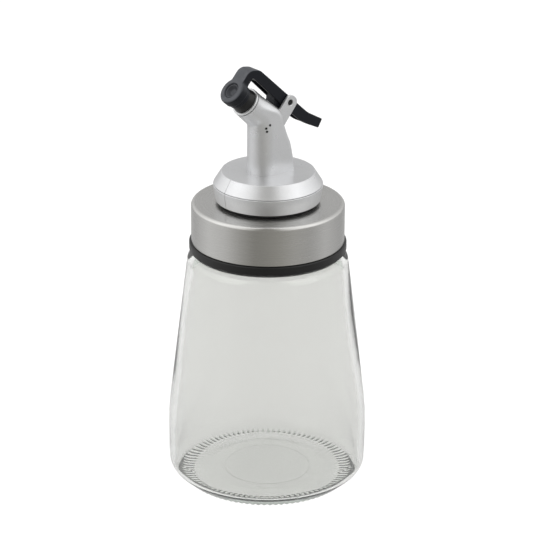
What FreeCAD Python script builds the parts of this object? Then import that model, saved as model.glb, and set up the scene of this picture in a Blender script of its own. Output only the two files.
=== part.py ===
import FreeCAD, Part
import math
import os
import Sketcher
from FreeCAD import Placement, Rotation, Vector

# A table-top oil dispenser: a tapered glass bottle, a screw collar in a steel sleeve, and a pouring
# spout closed by a sprung thumb lever.  Millimetres, +Z up.  The origin is the centre of the face
# the bottle stands on.  The spout pours towards -Y and the lever turns about an axis along X.
#
# Sections are drawn as "corners": (across, up) or (across, up, rounding radius).  Every entry is
# zero or a sum of names from the Sizes sheet, so a change in the sheet moves the sketch.

doc = FreeCAD.newDocument("oil_dispenser")
sheet = doc.addObject("Spreadsheet::Sheet", "Sizes")
sizes = {}


def size(name, value, note):
    """Put one driving dimension in the sheet, with its name as the cell's alias."""
    row = len(sizes) + 1
    sheet.set(f"A{row}", name)
    sheet.set(f"B{row}", str(value))
    sheet.set(f"C{row}", note)
    sheet.setAlias(f"B{row}", name)
    sizes[name] = value


def point(name, reach, level, note):
    """Two sizes for one point of a side view: how far ahead of the axis it lies, and its height."""
    size(name + "_reach", reach, note + ", ahead of the bottle's axis")
    size(name + "_level", level, note + ", height")


# Edges and cuts shared by many pieces
size("fine_edge", 0.25, "rounding of thin edges")
size("edge", 0.4, "usual rounding of a moulded edge")
size("inside_edge", 0.8, "usual rounding of an inside corner")
size("overcut", 1.0, "how far a cut runs past the face it opens")

# Glass bottle
size("foot_dish", 0.5, "how far the underside is dished above the table")
size("dish_radius", 27.8, "flat part of the dish")
size("dish_rounding", 1.5, "edge of the dish")
size("foot_inner", 29.6, "inner radius of the ring it stands on")
size("foot_inner_rounding", 0.6, "inner edge of that ring")
size("foot_outer", 32.3, "outer radius of the ring it stands on")
size("foot_outer_rounding", 3.0, "outer edge of that ring")
size("heel_radius", 38.9, "middle of the heel rounding")
size("heel_level", 5.8, "middle of the heel rounding")
size("heel_rounding", 5.0, "heel of the bottle")
size("barrel_radius", 39.2, "radius just above the heel")
size("barrel_level", 12.0, "top of the heel")
size("barrel_rounding", 8.0, "blend from the heel to the barrel")
size("belly_radius", 39.35, "widest radius")
size("belly_level", 28.6, "height of the widest radius")
size("belly_rounding", 100.0, "blend from the belly to the taper")
size("shoulder_radius", 31.3, "radius at the top of the taper")
size("shoulder_level", 95.2, "top of the shoulder")
size("shoulder_rounding", 3.2, "edge of the shoulder")
size("glass_wall", 2.7, "wall thickness")
size("floor_level", 4.5, "top of the glass floor")
size("floor_rounding", 4.0, "inside corner at the floor")
size("finish_radius", 25.25, "outside of the neck under the thread")
size("finish_rounding", 1.0, "corner between the shoulder and the neck")
size("lip_level", 112.0, "top of the glass lip")
size("mouth_radius", 22.0, "bore of the neck")
size("inner_shoulder_level", 93.2, "inside of the shoulder")
size("inner_neck_rounding", 1.2, "inside, from the neck to the shoulder")
size("inner_shoulder_rounding", 2.0, "inside, from the shoulder to the taper")
size("lip_rounding", 0.8, "rounding of the lip")

# Collar thread, one start, right-handed
size("collar_pitch", 4.2, "rise for each turn")
size("collar_turns", 1.5, "length of each thread in turns")
size("collar_thread_level", 101.5, "height where the threads start")
size("glass_crest", 26.4, "crest of the thread on the glass")
size("collar_crest", 25.7, "crest of the thread in the collar")
size("thread_root_half", 1.0, "half width at the root")
size("thread_crest_half", 0.55, "half width at the crest")
size("thread_sink", 0.3, "how deep a thread is rooted in its wall")

# Inner collar, sleeve and gasket
size("collar_bore", 26.95, "inside of the skirt")
size("collar_outer", 29.4, "outside of the skirt")
size("rim_outer", 30.85, "outside of the lower rim")
size("rim_inner_edge", 29.6, "lower edge of the rim")
size("rim_level", 95.9, "lowest point of the collar")
size("rim_bevel", 1.3, "height of the bevel under the rim")
size("rim_top", 100.25, "ledge that the sleeve stands on")
size("roof_under", 113.5, "underside of the roof")
size("roof_top", 115.6, "top of the roof")
size("roof_hole", 11.1, "hole for the stem")
size("sleeve_outer", 30.0, "outside of the steel")
size("sleeve_inner", 29.45, "inside of the steel")
size("sleeve_foot", 100.3, "lower edge of the steel")
size("sleeve_top", 116.2, "top face of the steel")
size("sleeve_under", 115.65, "underside of the steel's top")
size("sleeve_hole", 12.0, "hole in the steel's top")
size("sleeve_rounding", 1.5, "outside edge rounding")
size("sleeve_inner_rounding", 0.95, "inside edge rounding")
size("collar_top_rounding", 1.2, "edge of the collar's roof")
size("gasket_inner", 22.4, "gasket bore")
size("gasket_outer", 26.5, "gasket outside")
size("gasket_low", 112.05, "gasket underside")
size("gasket_high", 113.45, "gasket top")
size("seal_inner", 12.4, "seal ring bore")
size("seal_outer", 19.3, "seal ring outside")
size("seal_low", 116.25, "seal ring underside")
size("seal_high", 117.35, "seal ring top")

# Spout base and its nut
size("band_foot_radius", 20.55, "lower edge of the silver band")
size("disc_radius", 21.5, "widest radius of the spout's disc")
size("band_low", 117.4, "underside of the band")
size("band_high", 123.8, "seam between band and disc")
size("band_wall", 1.6, "wall of the band")
size("base_floor", 119.2, "floor inside the band")
size("stem_radius", 10.8, "plain part of the stem")
size("stem_core", 10.0, "stem under its thread")
size("stem_inner", 8.4, "inside of the stem")
size("stem_low", 104.5, "lower end of the stem")
size("stem_thread_top", 112.3, "top of the threaded part")
size("stem_floor", 106.5, "floor inside the stem")
size("stem_pitch", 2.0, "thread of the stem")
size("stem_turns", 2.5, "threaded length in turns")
size("stem_thread_level", 106.2, "height where the stem's thread starts")
size("stem_crest", 10.8, "crest of the stem's thread")
size("nut_crest", 10.25, "crest of the nut's thread")
size("nut_bore", 11.05, "nut under its thread")
size("nut_outer", 15.2, "outside of the nut")
size("nut_low", 107.0, "underside of the nut")
size("nut_high", 112.4, "top of the nut")
size("nut_turns", 1.8, "thread of the nut in turns")
size("nut_thread_level", 108.2, "height where the nut's thread starts")
size("fine_root_half", 0.55, "half width of the fine threads at the root")
size("fine_crest_half", 0.25, "half width of the fine threads at the crest")
size("nut_notch", 1.6, "radius of the grip notches")
size("notch_count", 8, "number of grip notches")
size("washer_inner", 11.2, "washer bore")
size("washer_outer", 15.5, "washer outside")
size("washer_low", 112.45, "washer underside")
size("washer_high", 113.45, "washer top")

# Spout housing
size("disc_low", 123.85, "lower edge of the disc")
size("disc_top", 128.95, "top face of the disc")
size("disc_top_radius", 18.2, "radius of the top face")
size("disc_under", 126.8, "underside of the top face")
size("disc_cavity", 17.0, "radius of the cavity at its top")
size("neck_axis", 1.94, "middle of the neck's round front, ahead of the bottle's axis")
size("neck_front", 8.65, "front of the neck")
size("neck_front_half", 6.35, "half width at the front")
size("neck_front_rounding", 6.05, "round front")
size("neck_back_half", 6.0, "half width at the back")
size("neck_back_low", 9.3, "back of the neck at the disc")
size("neck_back_high", 3.9, "back of the neck at the elbow")
point("waist", -8.0, 134.0, "lower bend of the neck's back")
point("nape", -4.5, 146.74, "upper bend of the neck's back")
size("neck_back_curve", 22.0, "bend of the neck's back")
size("neck_back_rounding", 1.2, "rounding along the back edges")
size("neck_root", 127.4, "where the neck is rooted in the disc")
size("elbow_level", 150.74, "height of the elbow")
size("mouth_reach", 11.5, "mouth ahead of the bottle's axis")
size("mouth_level", 159.2, "height of the mouth's centre")
size("nozzle_lean", 48.5, "nozzle axis from the vertical, degrees")
size("elbow_back", 12.76, "from the mouth back to the elbow")
size("elbow_ball", 5.45, "radius at the elbow")
size("ball_flat", 0.05, "flat left at the end of each rounded end")
size("branch_radius", 5.8, "radius at the mouth")
size("ring_step", 0.9, "length of the mouth ring")
size("ring_gap", 0.05, "clearance behind the mouth ring")
size("nozzle_seat", 5.07, "bore for the nozzle")
size("nozzle_seat_depth", 6.0, "depth of that bore")
size("neck_bore", 4.3, "bore for the pour tube")
size("vent_place", 4.9, "vent tube behind the bottle's axis")
size("vent_bore", 1.6, "room around the vent tube")
size("vent_bore_top", 134.0, "top of that room")
size("vent_hole", 0.7, "air hole in the back of the neck")
size("vent_hole_level", 131.6, "height of the air hole")

# Hinge
size("pin_back", 7.13, "pin behind the bottle's axis")
size("pin_level", 156.27, "height of the pin")
size("pin_radius", 1.0, "hinge pin")
size("ear_hole", 1.02, "hole in each ear")
size("lever_hole", 1.05, "hole in the lever")
size("ear_radius", 2.55, "rounded end of each ear")
size("ear_corner", 4.1, "from the pin to the corner that the rounding cuts")
point("ear_foot", -4.1, 147.5, "where the ears leave the neck's back")
point("ear_root", 2.44, 149.14, "where the ears are rooted in the neck")
size("ear_width", 9.5, "across both ears")
size("ear_gap", 7.3, "between the ears")
point("gap_foot", -5.25, 145.74, "lower end of the gap")
point("gap_front", -1.0, 156.74, "front of the gap, over the branch")
size("gap_room", 12.0, "how far the gap is cut beyond the pin")
size("pin_length", 9.3, "hinge pin")

# Lever; the sizes of the eye are along and across the nozzle's axis
point("arm_toe", 18.04, 165.0, "front of the arm, where it meets the eye's face")
point("brow", 11.5, 172.4, "front of the arm's crown")
point("crown", 6.5, 171.5, "back of the arm's crown")
point("dip", -17.0, 149.9, "hollow for the thumb")
point("tail_top", -24.3, 145.8, "upper edge of the tail's end")
point("tail_foot", -22.3, 142.5, "lower edge of the tail's end")
point("dip_under", -14.4, 146.3, "under the hollow")
point("back_under", -5.5, 154.2, "under the arm, by the hinge")
point("crook", 9.95, 169.2, "inside corner over the nozzle")
point("arm_heel", 15.7, 162.95, "back of the arm, where it meets the eye")
size("brow_rounding", 2.0, "front of the crown")
size("crown_rounding", 3.0, "back of the crown")
size("dip_bend", 14.0, "bend of the tail")
size("back_bend", 20.0, "bend under the arm")
point("channel_front", 6.2, 168.95, "front of the channel's roof")
point("channel_dip", -15.8, 148.0, "roof of the channel over the hollow")
point("channel_tail", -20.4, 145.3, "back of the channel's roof")
point("channel_back", -19.0, 141.0, "lower back corner of the cut")
point("channel_foot", -8.0, 146.0, "lowest corner of the cut")
point("channel_nose", 9.2, 166.2, "lower front corner of the cut")
size("channel_bend", 10.0, "bend of the channel's roof")
point("web_foot", -0.6, 156.4, "lower front corner of the web")
point("web_head", -1.3, 163.1, "upper front corner of the web")
point("web_back", -3.9, 160.2, "upper back corner of the web")
point("web_heel", -4.4, 155.6, "back of the web, by the hub")
point("web_toe", -3.7, 153.3, "lowest corner of the web")
point("web_knee", -1.8, 155.25, "under the web, over the elbow")
size("web_extra", 0.4, "how far the web reaches into the channel's walls")
size("lever_width", 6.5, "across the lever")
size("channel_width", 4.5, "inside the lever's channel")
size("eye_radius", 5.4, "outside of the eye")
size("eye_back", 5.3, "back of the eye, along the nozzle axis from the mouth")
size("eye_face", 8.77, "face of the eye, along the nozzle axis from the mouth")
size("eye_bore", 2.95, "hole in the eye")
size("eye_rounding", 0.5, "edge of the eye")
size("hub_radius", 2.4, "lever around the pin")
size("spring_room", 1.95, "room for the spring around the pin")
size("spring_room_width", 3.4, "room for the spring along the pin")

# Nozzle, stopper and tubes
size("nozzle_tip", 3.1, "nozzle beyond the mouth")
size("nozzle_tip_radius", 4.55, "nozzle at its tip")
size("nozzle_radius", 5.0, "nozzle at the mouth")
size("nozzle_tail_radius", 4.2, "nozzle inside the branch")
size("nozzle_shoulder", 5.9, "end of the wide part, inside the branch")
size("nozzle_tail", 8.0, "inner end of the nozzle")
size("nozzle_bore", 2.9, "bore of the tip")
size("nozzle_socket", 3.65, "socket for the pour tube")
size("socket_floor", 3.0, "floor of the socket, inside the mouth")
size("stopper_low", 3.2, "face that seals, along the nozzle axis")
size("stopper_flange", 4.95, "radius of the sealing flange")
size("stopper_flange_top", 5.15, "back of the flange")
size("stopper_head", 2.9, "radius in the eye")
size("stopper_top", 8.3, "rim of the bowl in its end")
size("bowl_depth", 6.9, "floor of the bowl")
size("bowl_half", 1.4, "middle of the bowl's slope")
size("bowl_rim", 0.4, "width of the bowl's rim")
size("bowl_rounding", 1.0, "hollow of the bowl")
size("tube_outer", 3.6, "pour tube outside")
size("tube_inner", 2.9, "pour tube bore")
size("tube_low", 102.5, "lower end of the pour tube")
size("tube_end", 3.2, "upper end, inside the mouth")
size("tube_bend", 8.0, "bend radius of the pour tube")
size("vent_outer", 1.1, "vent tube outside")
size("vent_inner", 0.7, "vent tube bore")
size("vent_low", 103.0, "lower end of the vent tube")
size("vent_high", 129.6, "upper end of the vent tube")
size("pour_hole", 3.65, "hole for the pour tube")
size("vent_tube_hole", 1.15, "hole for the vent tube")

# Return spring
size("wire_radius", 0.25, "spring wire")
size("coil_radius", 1.45, "middle of the wire from the pin's axis")
size("coil_pitch", 0.6, "spacing of the coils")
size("coil_turns", 4.0, "number of coils")
size("lever_leg", 6.5, "leg under the lever's tail")
size("lever_leg_angle", 215.0, "direction of that leg, degrees")
size("neck_leg", 6.2, "leg against the neck")
size("neck_leg_angle", 284.5, "direction of that leg, degrees")
doc.recompute()

POUR_TURN = Rotation(Vector(0, 0, 1), -90)  # turns a piece drawn pouring towards +X to -Y
CUT = 60.0                                  # long enough for any through cut


def value_of(text):
    """Value of a sum of sheet names and numbers, such as "disc_top - band_low + 0.5"."""
    total = 0.0
    sign = 1.0
    for word in str(text).split():
        if word in "+-":
            sign = 1.0 if word == "+" else -1.0
            continue
        total += sign * (sizes[word] if word in sizes else float(word))
        sign = 1.0
    return total


def formula(text):
    """The same sum as an expression on the sheet."""
    words = str(text).split()
    return " ".join(f"Sizes.{word}" if word in sizes else word for word in words)


def body(name, placement=Placement()):
    """An empty PartDesign body for one piece."""
    piece = doc.addObject("PartDesign::Body", name)
    piece.Label = name
    piece.Placement = placement
    return piece


def sketch_on(piece, name, plane="XZ_Plane", level=None, leaning=False):
    """A sketch on one of the body's own planes: raised to a level, or leaning with the nozzle."""
    sketch = piece.newObject("Sketcher::SketchObject", name)
    origin = [f for f in piece.Origin.OriginFeatures if f.Role == plane][0]
    sketch.AttachmentSupport = (origin, [""])
    sketch.MapMode = "FlatFace"
    if level is not None:
        sketch.AttachmentOffset = Placement(Vector(0, 0, value_of(level)), Rotation())
        sketch.setExpression("AttachmentOffset.Base.z", formula(level))
    if leaning:
        place = Vector(value_of("mouth_reach"), value_of("mouth_level"), 0)
        sketch.AttachmentOffset = Placement(place, Rotation(Vector(0, 0, -1), value_of("nozzle_lean")))
        sketch.setExpression("AttachmentOffset.Base.x", formula("mouth_reach"))
        sketch.setExpression("AttachmentOffset.Base.y", formula("mouth_level"))
    return sketch


def bind(sketch, kind, first, second, text):
    """One signed distance from the sketch's origin to a point, tied to the sheet."""
    value = value_of(text)
    if abs(value) < 1e-9:
        axis = -2 if kind == "DistanceX" else -1
        sketch.addConstraint(Sketcher.Constraint("PointOnObject", first, second, axis))
        return
    index = sketch.addConstraint(Sketcher.Constraint(kind, -1, 1, first, second, value))
    sketch.setExpression(f"Constraints[{index}]", formula(text))


def at(name, *rounding):
    """A point from the sheet as one corner of an outline, rounded if a rounding is named."""
    return (name + "_reach", name + "_level", *rounding)


def outline(sketch, corners):
    """A closed outline through the corners, with the rounded ones cut by tangent arcs."""
    places = [Vector(value_of(c[0]), value_of(c[1]), 0) for c in corners]
    radii = [value_of(c[2]) if len(c) > 2 else 0.0 for c in corners]
    count = len(corners)
    starts, ends, arcs = [], [], []
    for i, here in enumerate(places):
        to_last = (places[i - 1] - here).normalize()
        to_next = (places[(i + 1) % count] - here).normalize()
        half = to_last.getAngle(to_next) / 2
        reach = radii[i] / math.tan(half)
        ends.append(here + to_last * reach)
        starts.append(here + to_next * reach)
        arcs.append(None)
        if radii[i]:
            toward = (to_last + to_next).normalize()
            centre = here + toward * (radii[i] / math.sin(half))
            arcs[i] = Part.Arc(ends[i], centre - toward * radii[i], starts[i])
    lines = []
    for i in range(count):
        lines.append(sketch.addGeometry(Part.LineSegment(starts[i], ends[(i + 1) % count])))
    for i, corner in enumerate(corners):
        before, after = lines[i - 1], lines[i]
        if arcs[i] is None:
            sketch.addConstraint(Sketcher.Constraint("Coincident", before, 2, after, 1))
            bind(sketch, "DistanceX", after, 1, corner[0])
            bind(sketch, "DistanceY", after, 1, corner[1])
            continue
        arc = sketch.addGeometry(arcs[i])
        near = 1 if (sketch.getPoint(arc, 1) - ends[i]).Length < 1e-6 else 2
        sketch.addConstraint(Sketcher.Constraint("Tangent", before, 2, arc, near))
        sketch.addConstraint(Sketcher.Constraint("Tangent", after, 1, arc, 3 - near))
        radius = sketch.addConstraint(Sketcher.Constraint("Radius", arc, radii[i]))
        sketch.setExpression(f"Constraints[{radius}]", formula(corner[2]))
        point = sketch.addGeometry(Part.Point(places[i]), True)
        sketch.addConstraint(Sketcher.Constraint("PointOnObject", point, 1, before))
        sketch.addConstraint(Sketcher.Constraint("PointOnObject", point, 1, after))
        bind(sketch, "DistanceX", point, 1, corner[0])
        bind(sketch, "DistanceY", point, 1, corner[1])
    return sketch


def circle(sketch, across, up, radius):
    """A circle tied to the sheet."""
    centre = Vector(value_of(across), value_of(up), 0)
    ring = sketch.addGeometry(Part.Circle(centre, Vector(0, 0, 1), value_of(radius)))
    bind(sketch, "DistanceX", ring, 3, across)
    bind(sketch, "DistanceY", ring, 3, up)
    index = sketch.addConstraint(Sketcher.Constraint("Radius", ring, value_of(radius)))
    sketch.setExpression(f"Constraints[{index}]", formula(radius))
    return sketch


def turned(piece, name, corners, kind="Revolution", leaning=False):
    """A solid (or a groove) of revolution about the sketch's vertical axis."""
    sketch = outline(sketch_on(piece, name + "_section", leaning=leaning), corners)
    feature = piece.newObject("PartDesign::" + kind, name)
    feature.Profile = sketch
    feature.ReferenceAxis = (sketch, ["V_Axis"])
    feature.Angle = 360.0
    piece.Tip = feature
    return feature


def thick(piece, name, sketch, length, kind="Pad", both=True, backwards=False):
    """A pad or pocket of a sketch, by default half to each side of its plane."""
    feature = piece.newObject("PartDesign::" + kind, name)
    feature.Profile = sketch
    feature.SideType = "Symmetric" if both else "One side"
    feature.Length = value_of(length)
    feature.setExpression("Length", formula(length))
    feature.Reversed = backwards
    piece.Tip = feature
    return feature


def thread(piece, name, corners, pitch, turns):
    """A right-handed ridge whose section climbs about the piece's axis."""
    sketch = outline(sketch_on(piece, name + "_section"), corners)
    feature = piece.newObject("PartDesign::AdditiveHelix", name)
    feature.Profile = sketch
    feature.ReferenceAxis = (sketch, ["V_Axis"])
    feature.Mode = "pitch-turns-angle"
    feature.Pitch = value_of(pitch)
    feature.Turns = value_of(turns)
    feature.setExpression("Pitch", formula(pitch))
    feature.setExpression("Turns", formula(turns))
    piece.Tip = feature
    return feature


def ridge(wall, crest, level, inwards, fine=False):
    """Section of a thread ridge: a trapezium rooted in the wall."""
    root_half = "fine_root_half" if fine else "thread_root_half"
    crest_half = "fine_crest_half" if fine else "thread_crest_half"
    root = f"{wall} + thread_sink" if inwards else f"{wall} - thread_sink"
    return [
        (root, f"{level} - {root_half}"),
        (crest, f"{level} - {crest_half}"),
        (crest, f"{level} + {crest_half}"),
        (root, f"{level} + {root_half}"),
    ]


def glass_bottle():
    """Blown glass: dished foot, straight taper, shoulder, threaded neck."""
    piece = body("glass_bottle")
    turned(piece, "glass", [
        (0, "foot_dish"),
        ("dish_radius", "foot_dish", "dish_rounding"),
        ("foot_inner", 0, "foot_inner_rounding"),
        ("foot_outer", 0, "foot_outer_rounding"),
        ("heel_radius", "heel_level", "heel_rounding"),
        ("barrel_radius", "barrel_level", "barrel_rounding"),
        ("belly_radius", "belly_level", "belly_rounding"),
        ("shoulder_radius", "shoulder_level", "shoulder_rounding"),
        ("finish_radius", "shoulder_level", "finish_rounding"),
        ("finish_radius", "lip_level", "lip_rounding"),
        ("mouth_radius", "lip_level", "lip_rounding"),
        ("mouth_radius", "inner_shoulder_level", "inner_neck_rounding"),
        ("shoulder_radius - glass_wall", "inner_shoulder_level", "inner_shoulder_rounding"),
        ("belly_radius - glass_wall", "belly_level", "belly_rounding"),
        ("barrel_radius - glass_wall", "floor_level", "floor_rounding"),
        (0, "floor_level"),
    ])
    section = ridge("finish_radius", "glass_crest", "collar_thread_level", inwards=False)
    thread(piece, "glass_thread", section, "collar_pitch", "collar_turns")
    return piece


def screw_collar():
    """Black inner collar; its thread starts half a turn round from the one on the glass."""
    piece = body("screw_collar", Placement(Vector(), Rotation(Vector(0, 0, 1), 180)))
    turned(piece, "collar", [
        ("collar_bore", "rim_level"),
        ("rim_inner_edge", "rim_level"),
        ("rim_outer", "rim_level + rim_bevel", "inside_edge"),
        ("rim_outer", "rim_top", "edge"),
        ("collar_outer", "rim_top"),
        ("collar_outer", "roof_top", "collar_top_rounding"),
        ("roof_hole", "roof_top"),
        ("roof_hole", "roof_under"),
        ("collar_bore", "roof_under"),
    ])
    section = ridge("collar_bore", "collar_crest", "collar_thread_level", inwards=True)
    thread(piece, "collar_thread", section, "collar_pitch", "collar_turns")
    return piece


def steel_sleeve():
    """Pressed steel shell over the collar."""
    piece = body("steel_sleeve")
    turned(piece, "sleeve", [
        ("sleeve_inner", "sleeve_foot"),
        ("sleeve_outer", "sleeve_foot"),
        ("sleeve_outer", "sleeve_top", "sleeve_rounding"),
        ("sleeve_hole", "sleeve_top"),
        ("sleeve_hole", "sleeve_under"),
        ("sleeve_inner", "sleeve_under", "sleeve_inner_rounding"),
    ])
    return piece


def flat_ring(name, inner, outer, low, high, rounding):
    """A gasket, washer or seal ring."""
    piece = body(name)
    turned(piece, name + "_ring", [
        (inner, low),
        (outer, low, rounding),
        (outer, high, rounding),
        (inner, high),
    ])
    return piece


def spout_base():
    """Silver band, its floor, and the hollow threaded stem that goes through the collar."""
    piece = body("spout_base", Placement(Vector(), POUR_TURN))
    turned(piece, "base", [
        (0, "stem_low"),
        ("stem_core", "stem_low", "edge"),
        ("stem_core", "stem_thread_top"),
        ("stem_radius", "stem_thread_top + fine_edge"),
        ("stem_radius", "band_low"),
        ("band_foot_radius", "band_low", "edge"),
        ("disc_radius", "band_high", "fine_edge"),
        ("disc_radius - band_wall", "band_high"),
        ("band_foot_radius - band_wall", "base_floor", "inside_edge"),
        ("stem_inner", "base_floor"),
        ("stem_inner", "stem_floor", "inside_edge"),
        (0, "stem_floor"),
    ])
    holes = sketch_on(piece, "tube_holes", "XY_Plane", "stem_low - overcut")
    circle(holes, "neck_axis", 0, "pour_hole")
    circle(holes, "0 - vent_place", 0, "vent_tube_hole")
    depth = "stem_floor - stem_low + overcut + overcut"
    thick(piece, "tube_cuts", holes, depth, "Pocket", both=False, backwards=True)
    section = ridge("stem_core", "stem_crest", "stem_thread_level", inwards=False, fine=True)
    thread(piece, "stem_thread", section, "stem_pitch", "stem_turns")
    return piece


def retaining_nut():
    """Ring nut with grip notches; its thread starts half a turn round from the stem's."""
    piece = body("retaining_nut", Placement(Vector(), Rotation(Vector(0, 0, 1), 90)))
    turned(piece, "nut", [
        ("nut_bore", "nut_low"),
        ("nut_outer", "nut_low", "edge"),
        ("nut_outer", "nut_high", "edge"),
        ("nut_bore", "nut_high"),
    ])
    notch = sketch_on(piece, "notch_section", "XY_Plane", "nut_low - overcut")
    circle(notch, "nut_outer + edge", 0, "nut_notch")
    depth = "nut_high - nut_low + overcut + overcut"
    cut = thick(piece, "notch", notch, depth, "Pocket", both=False, backwards=True)
    doc.recompute()
    ring = piece.newObject("PartDesign::PolarPattern", "notches")
    ring.Originals = [cut]
    ring.Axis = (notch, ["N_Axis"])
    ring.Angle = 360.0
    ring.Occurrences = int(sizes["notch_count"])
    ring.setExpression("Occurrences", "Sizes.notch_count")
    piece.Tip = ring
    section = ridge("nut_bore", "nut_crest", "nut_thread_level", inwards=True, fine=True)
    thread(piece, "nut_thread", section, "stem_pitch", "nut_turns")
    return piece


def back_edges(shape):
    """Names of the edges that run up the two sides of the neck's back."""
    names = []
    for number, edge in enumerate(shape.Edges, 1):
        box = edge.BoundBox
        rises = box.ZLength > 0.5
        at_side = abs(box.Center.y) > sizes["neck_back_half"] - 0.5
        at_back = box.Center.x < -sizes["neck_back_high"] + 1
        if rises and at_side and at_back:
            names.append(f"Edge{number}")
    return names


def spout_housing():
    """Silver disc, neck, leaning branch and hinge ears in one moulding, with its bores."""
    piece = body("spout_housing", Placement(Vector(), POUR_TURN))
    section = outline(sketch_on(piece, "neck_section", "XY_Plane", "neck_root"), [
        ("0 - neck_back_low", "0 - neck_back_half"),
        ("0 - neck_back_low", "neck_back_half"),
        ("neck_front", "neck_front_half", "neck_front_rounding"),
        ("neck_front", "0 - neck_front_half", "neck_front_rounding"),
    ])
    thick(piece, "neck", section, "elbow_level - neck_root", both=False)
    behind = outline(sketch_on(piece, "neck_back_outline"), [
        ("0 - neck_back_low", "neck_root"),
        at("waist", "neck_back_curve"),
        at("nape", "neck_back_curve"),
        ("0 - neck_back_high", "elbow_level + overcut"),
        ("0 - neck_back_low - overcut", "elbow_level + overcut"),
        ("0 - neck_back_low - overcut", "neck_root"),
    ])
    slope = thick(piece, "neck_back", behind, CUT, "Pocket")
    doc.recompute()
    rounding = piece.newObject("PartDesign::Fillet", "neck_back_rounding")
    rounding.Base = (slope, back_edges(slope.Shape))
    rounding.Radius = sizes["neck_back_rounding"]
    rounding.setExpression("Radius", "Sizes.neck_back_rounding")
    piece.Tip = rounding

    ears = outline(sketch_on(piece, "ear_outline"), [
        ("0 - pin_back", "pin_level + ear_corner", "ear_radius"),
        ("0 - pin_back - ear_corner", "pin_level", "ear_radius"),
        at("ear_foot"),
        at("ear_root"),
    ])
    thick(piece, "ears", ears, "ear_width")
    gap = outline(sketch_on(piece, "ear_gap_outline"), [
        at("gap_foot"),
        ("0 - neck_back_high", "elbow_level"),
        at("gap_front"),
        ("0 - pin_back", "pin_level + gap_room"),
        ("0 - pin_back - gap_room", "pin_level"),
        ("0 - pin_back - ear_corner", "gap_foot_level"),
    ])
    thick(piece, "ear_gap", gap, "ear_gap", "Pocket")

    turned(piece, "branch", [
        (0, "0 - elbow_back - elbow_ball"),
        ("elbow_ball", "0 - elbow_back - elbow_ball", "elbow_ball - ball_flat"),
        ("branch_radius", "0 - ring_step"),
        (0, "0 - ring_step"),
    ], leaning=True)
    turned(piece, "disc", [
        (0, "disc_under"),
        ("disc_cavity", "disc_under"),
        ("disc_radius - band_wall", "disc_low"),
        ("disc_radius", "disc_low", "fine_edge"),
        ("disc_top_radius", "disc_top", "edge"),
        (0, "disc_top"),
    ])
    turned(piece, "branch_bore", [
        (0, "0 - elbow_back - neck_bore"),
        ("neck_bore", "0 - elbow_back - neck_bore", "neck_bore - ball_flat"),
        ("neck_bore", "0 - nozzle_seat_depth"),
        ("nozzle_seat", "0 - nozzle_seat_depth"),
        ("nozzle_seat", "overcut"),
        (0, "overcut"),
    ], "Groove", leaning=True)

    shaft = sketch_on(piece, "neck_bore_circle", "XY_Plane", "elbow_level")
    circle(shaft, "neck_axis", 0, "neck_bore")
    thick(piece, "neck_shaft", shaft, "elbow_level - disc_low", "Pocket", both=False)
    vent = sketch_on(piece, "vent_circle", "XY_Plane", "vent_bore_top")
    circle(vent, "0 - vent_place", 0, "vent_bore")
    thick(piece, "vent_shaft", vent, "vent_bore_top - disc_low", "Pocket", both=False)
    air = sketch_on(piece, "air_hole_circle", "YZ_Plane", "0 - vent_place")
    circle(air, 0, "vent_hole_level", "vent_hole")
    thick(piece, "air_hole", air, "neck_back_low", "Pocket", both=False)
    pins = circle(sketch_on(piece, "pin_hole_circle"), "0 - pin_back", "pin_level", "ear_hole")
    thick(piece, "pin_holes", pins, CUT, "Pocket")
    return piece


def leaning_body(name, corners):
    """A piece turned about the nozzle's axis."""
    piece = body(name, Placement(Vector(), POUR_TURN))
    turned(piece, name + "_turned", corners, leaning=True)
    return piece


def pour_nozzle():
    """Black tip with a socket behind it for the pour tube."""
    return leaning_body("pour_nozzle", [
        ("nozzle_bore", "nozzle_tip"),
        ("nozzle_bore", "0 - socket_floor"),
        ("nozzle_socket", "0 - socket_floor"),
        ("nozzle_socket", "0 - nozzle_tail"),
        ("nozzle_tail_radius", "0 - nozzle_tail"),
        ("nozzle_tail_radius", "0 - nozzle_shoulder"),
        ("nozzle_radius", "0 - nozzle_shoulder"),
        ("nozzle_radius", "fine_edge"),
        ("nozzle_tip_radius", "nozzle_tip", "edge"),
    ])


def nozzle_ring():
    """Thin ring that trims the mouth of the branch."""
    return leaning_body("nozzle_ring", [
        ("nozzle_seat", "0 - ring_step + ring_gap"),
        ("branch_radius", "0 - ring_step + ring_gap"),
        ("branch_radius", 0, "fine_edge"),
        ("nozzle_seat", 0),
    ])


def stopper():
    """Rubber plug: a sealing flange behind the eye and a bowl-ended head in it."""
    return leaning_body("stopper", [
        (0, "stopper_low"),
        ("stopper_flange", "stopper_low", "edge"),
        ("stopper_flange", "stopper_flange_top", "edge"),
        ("stopper_head", "stopper_flange_top"),
        ("stopper_head", "stopper_top"),
        ("stopper_head - bowl_rim", "stopper_top"),
        ("bowl_half", "bowl_depth + fine_edge", "bowl_rounding"),
        (0, "bowl_depth"),
    ])


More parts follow.
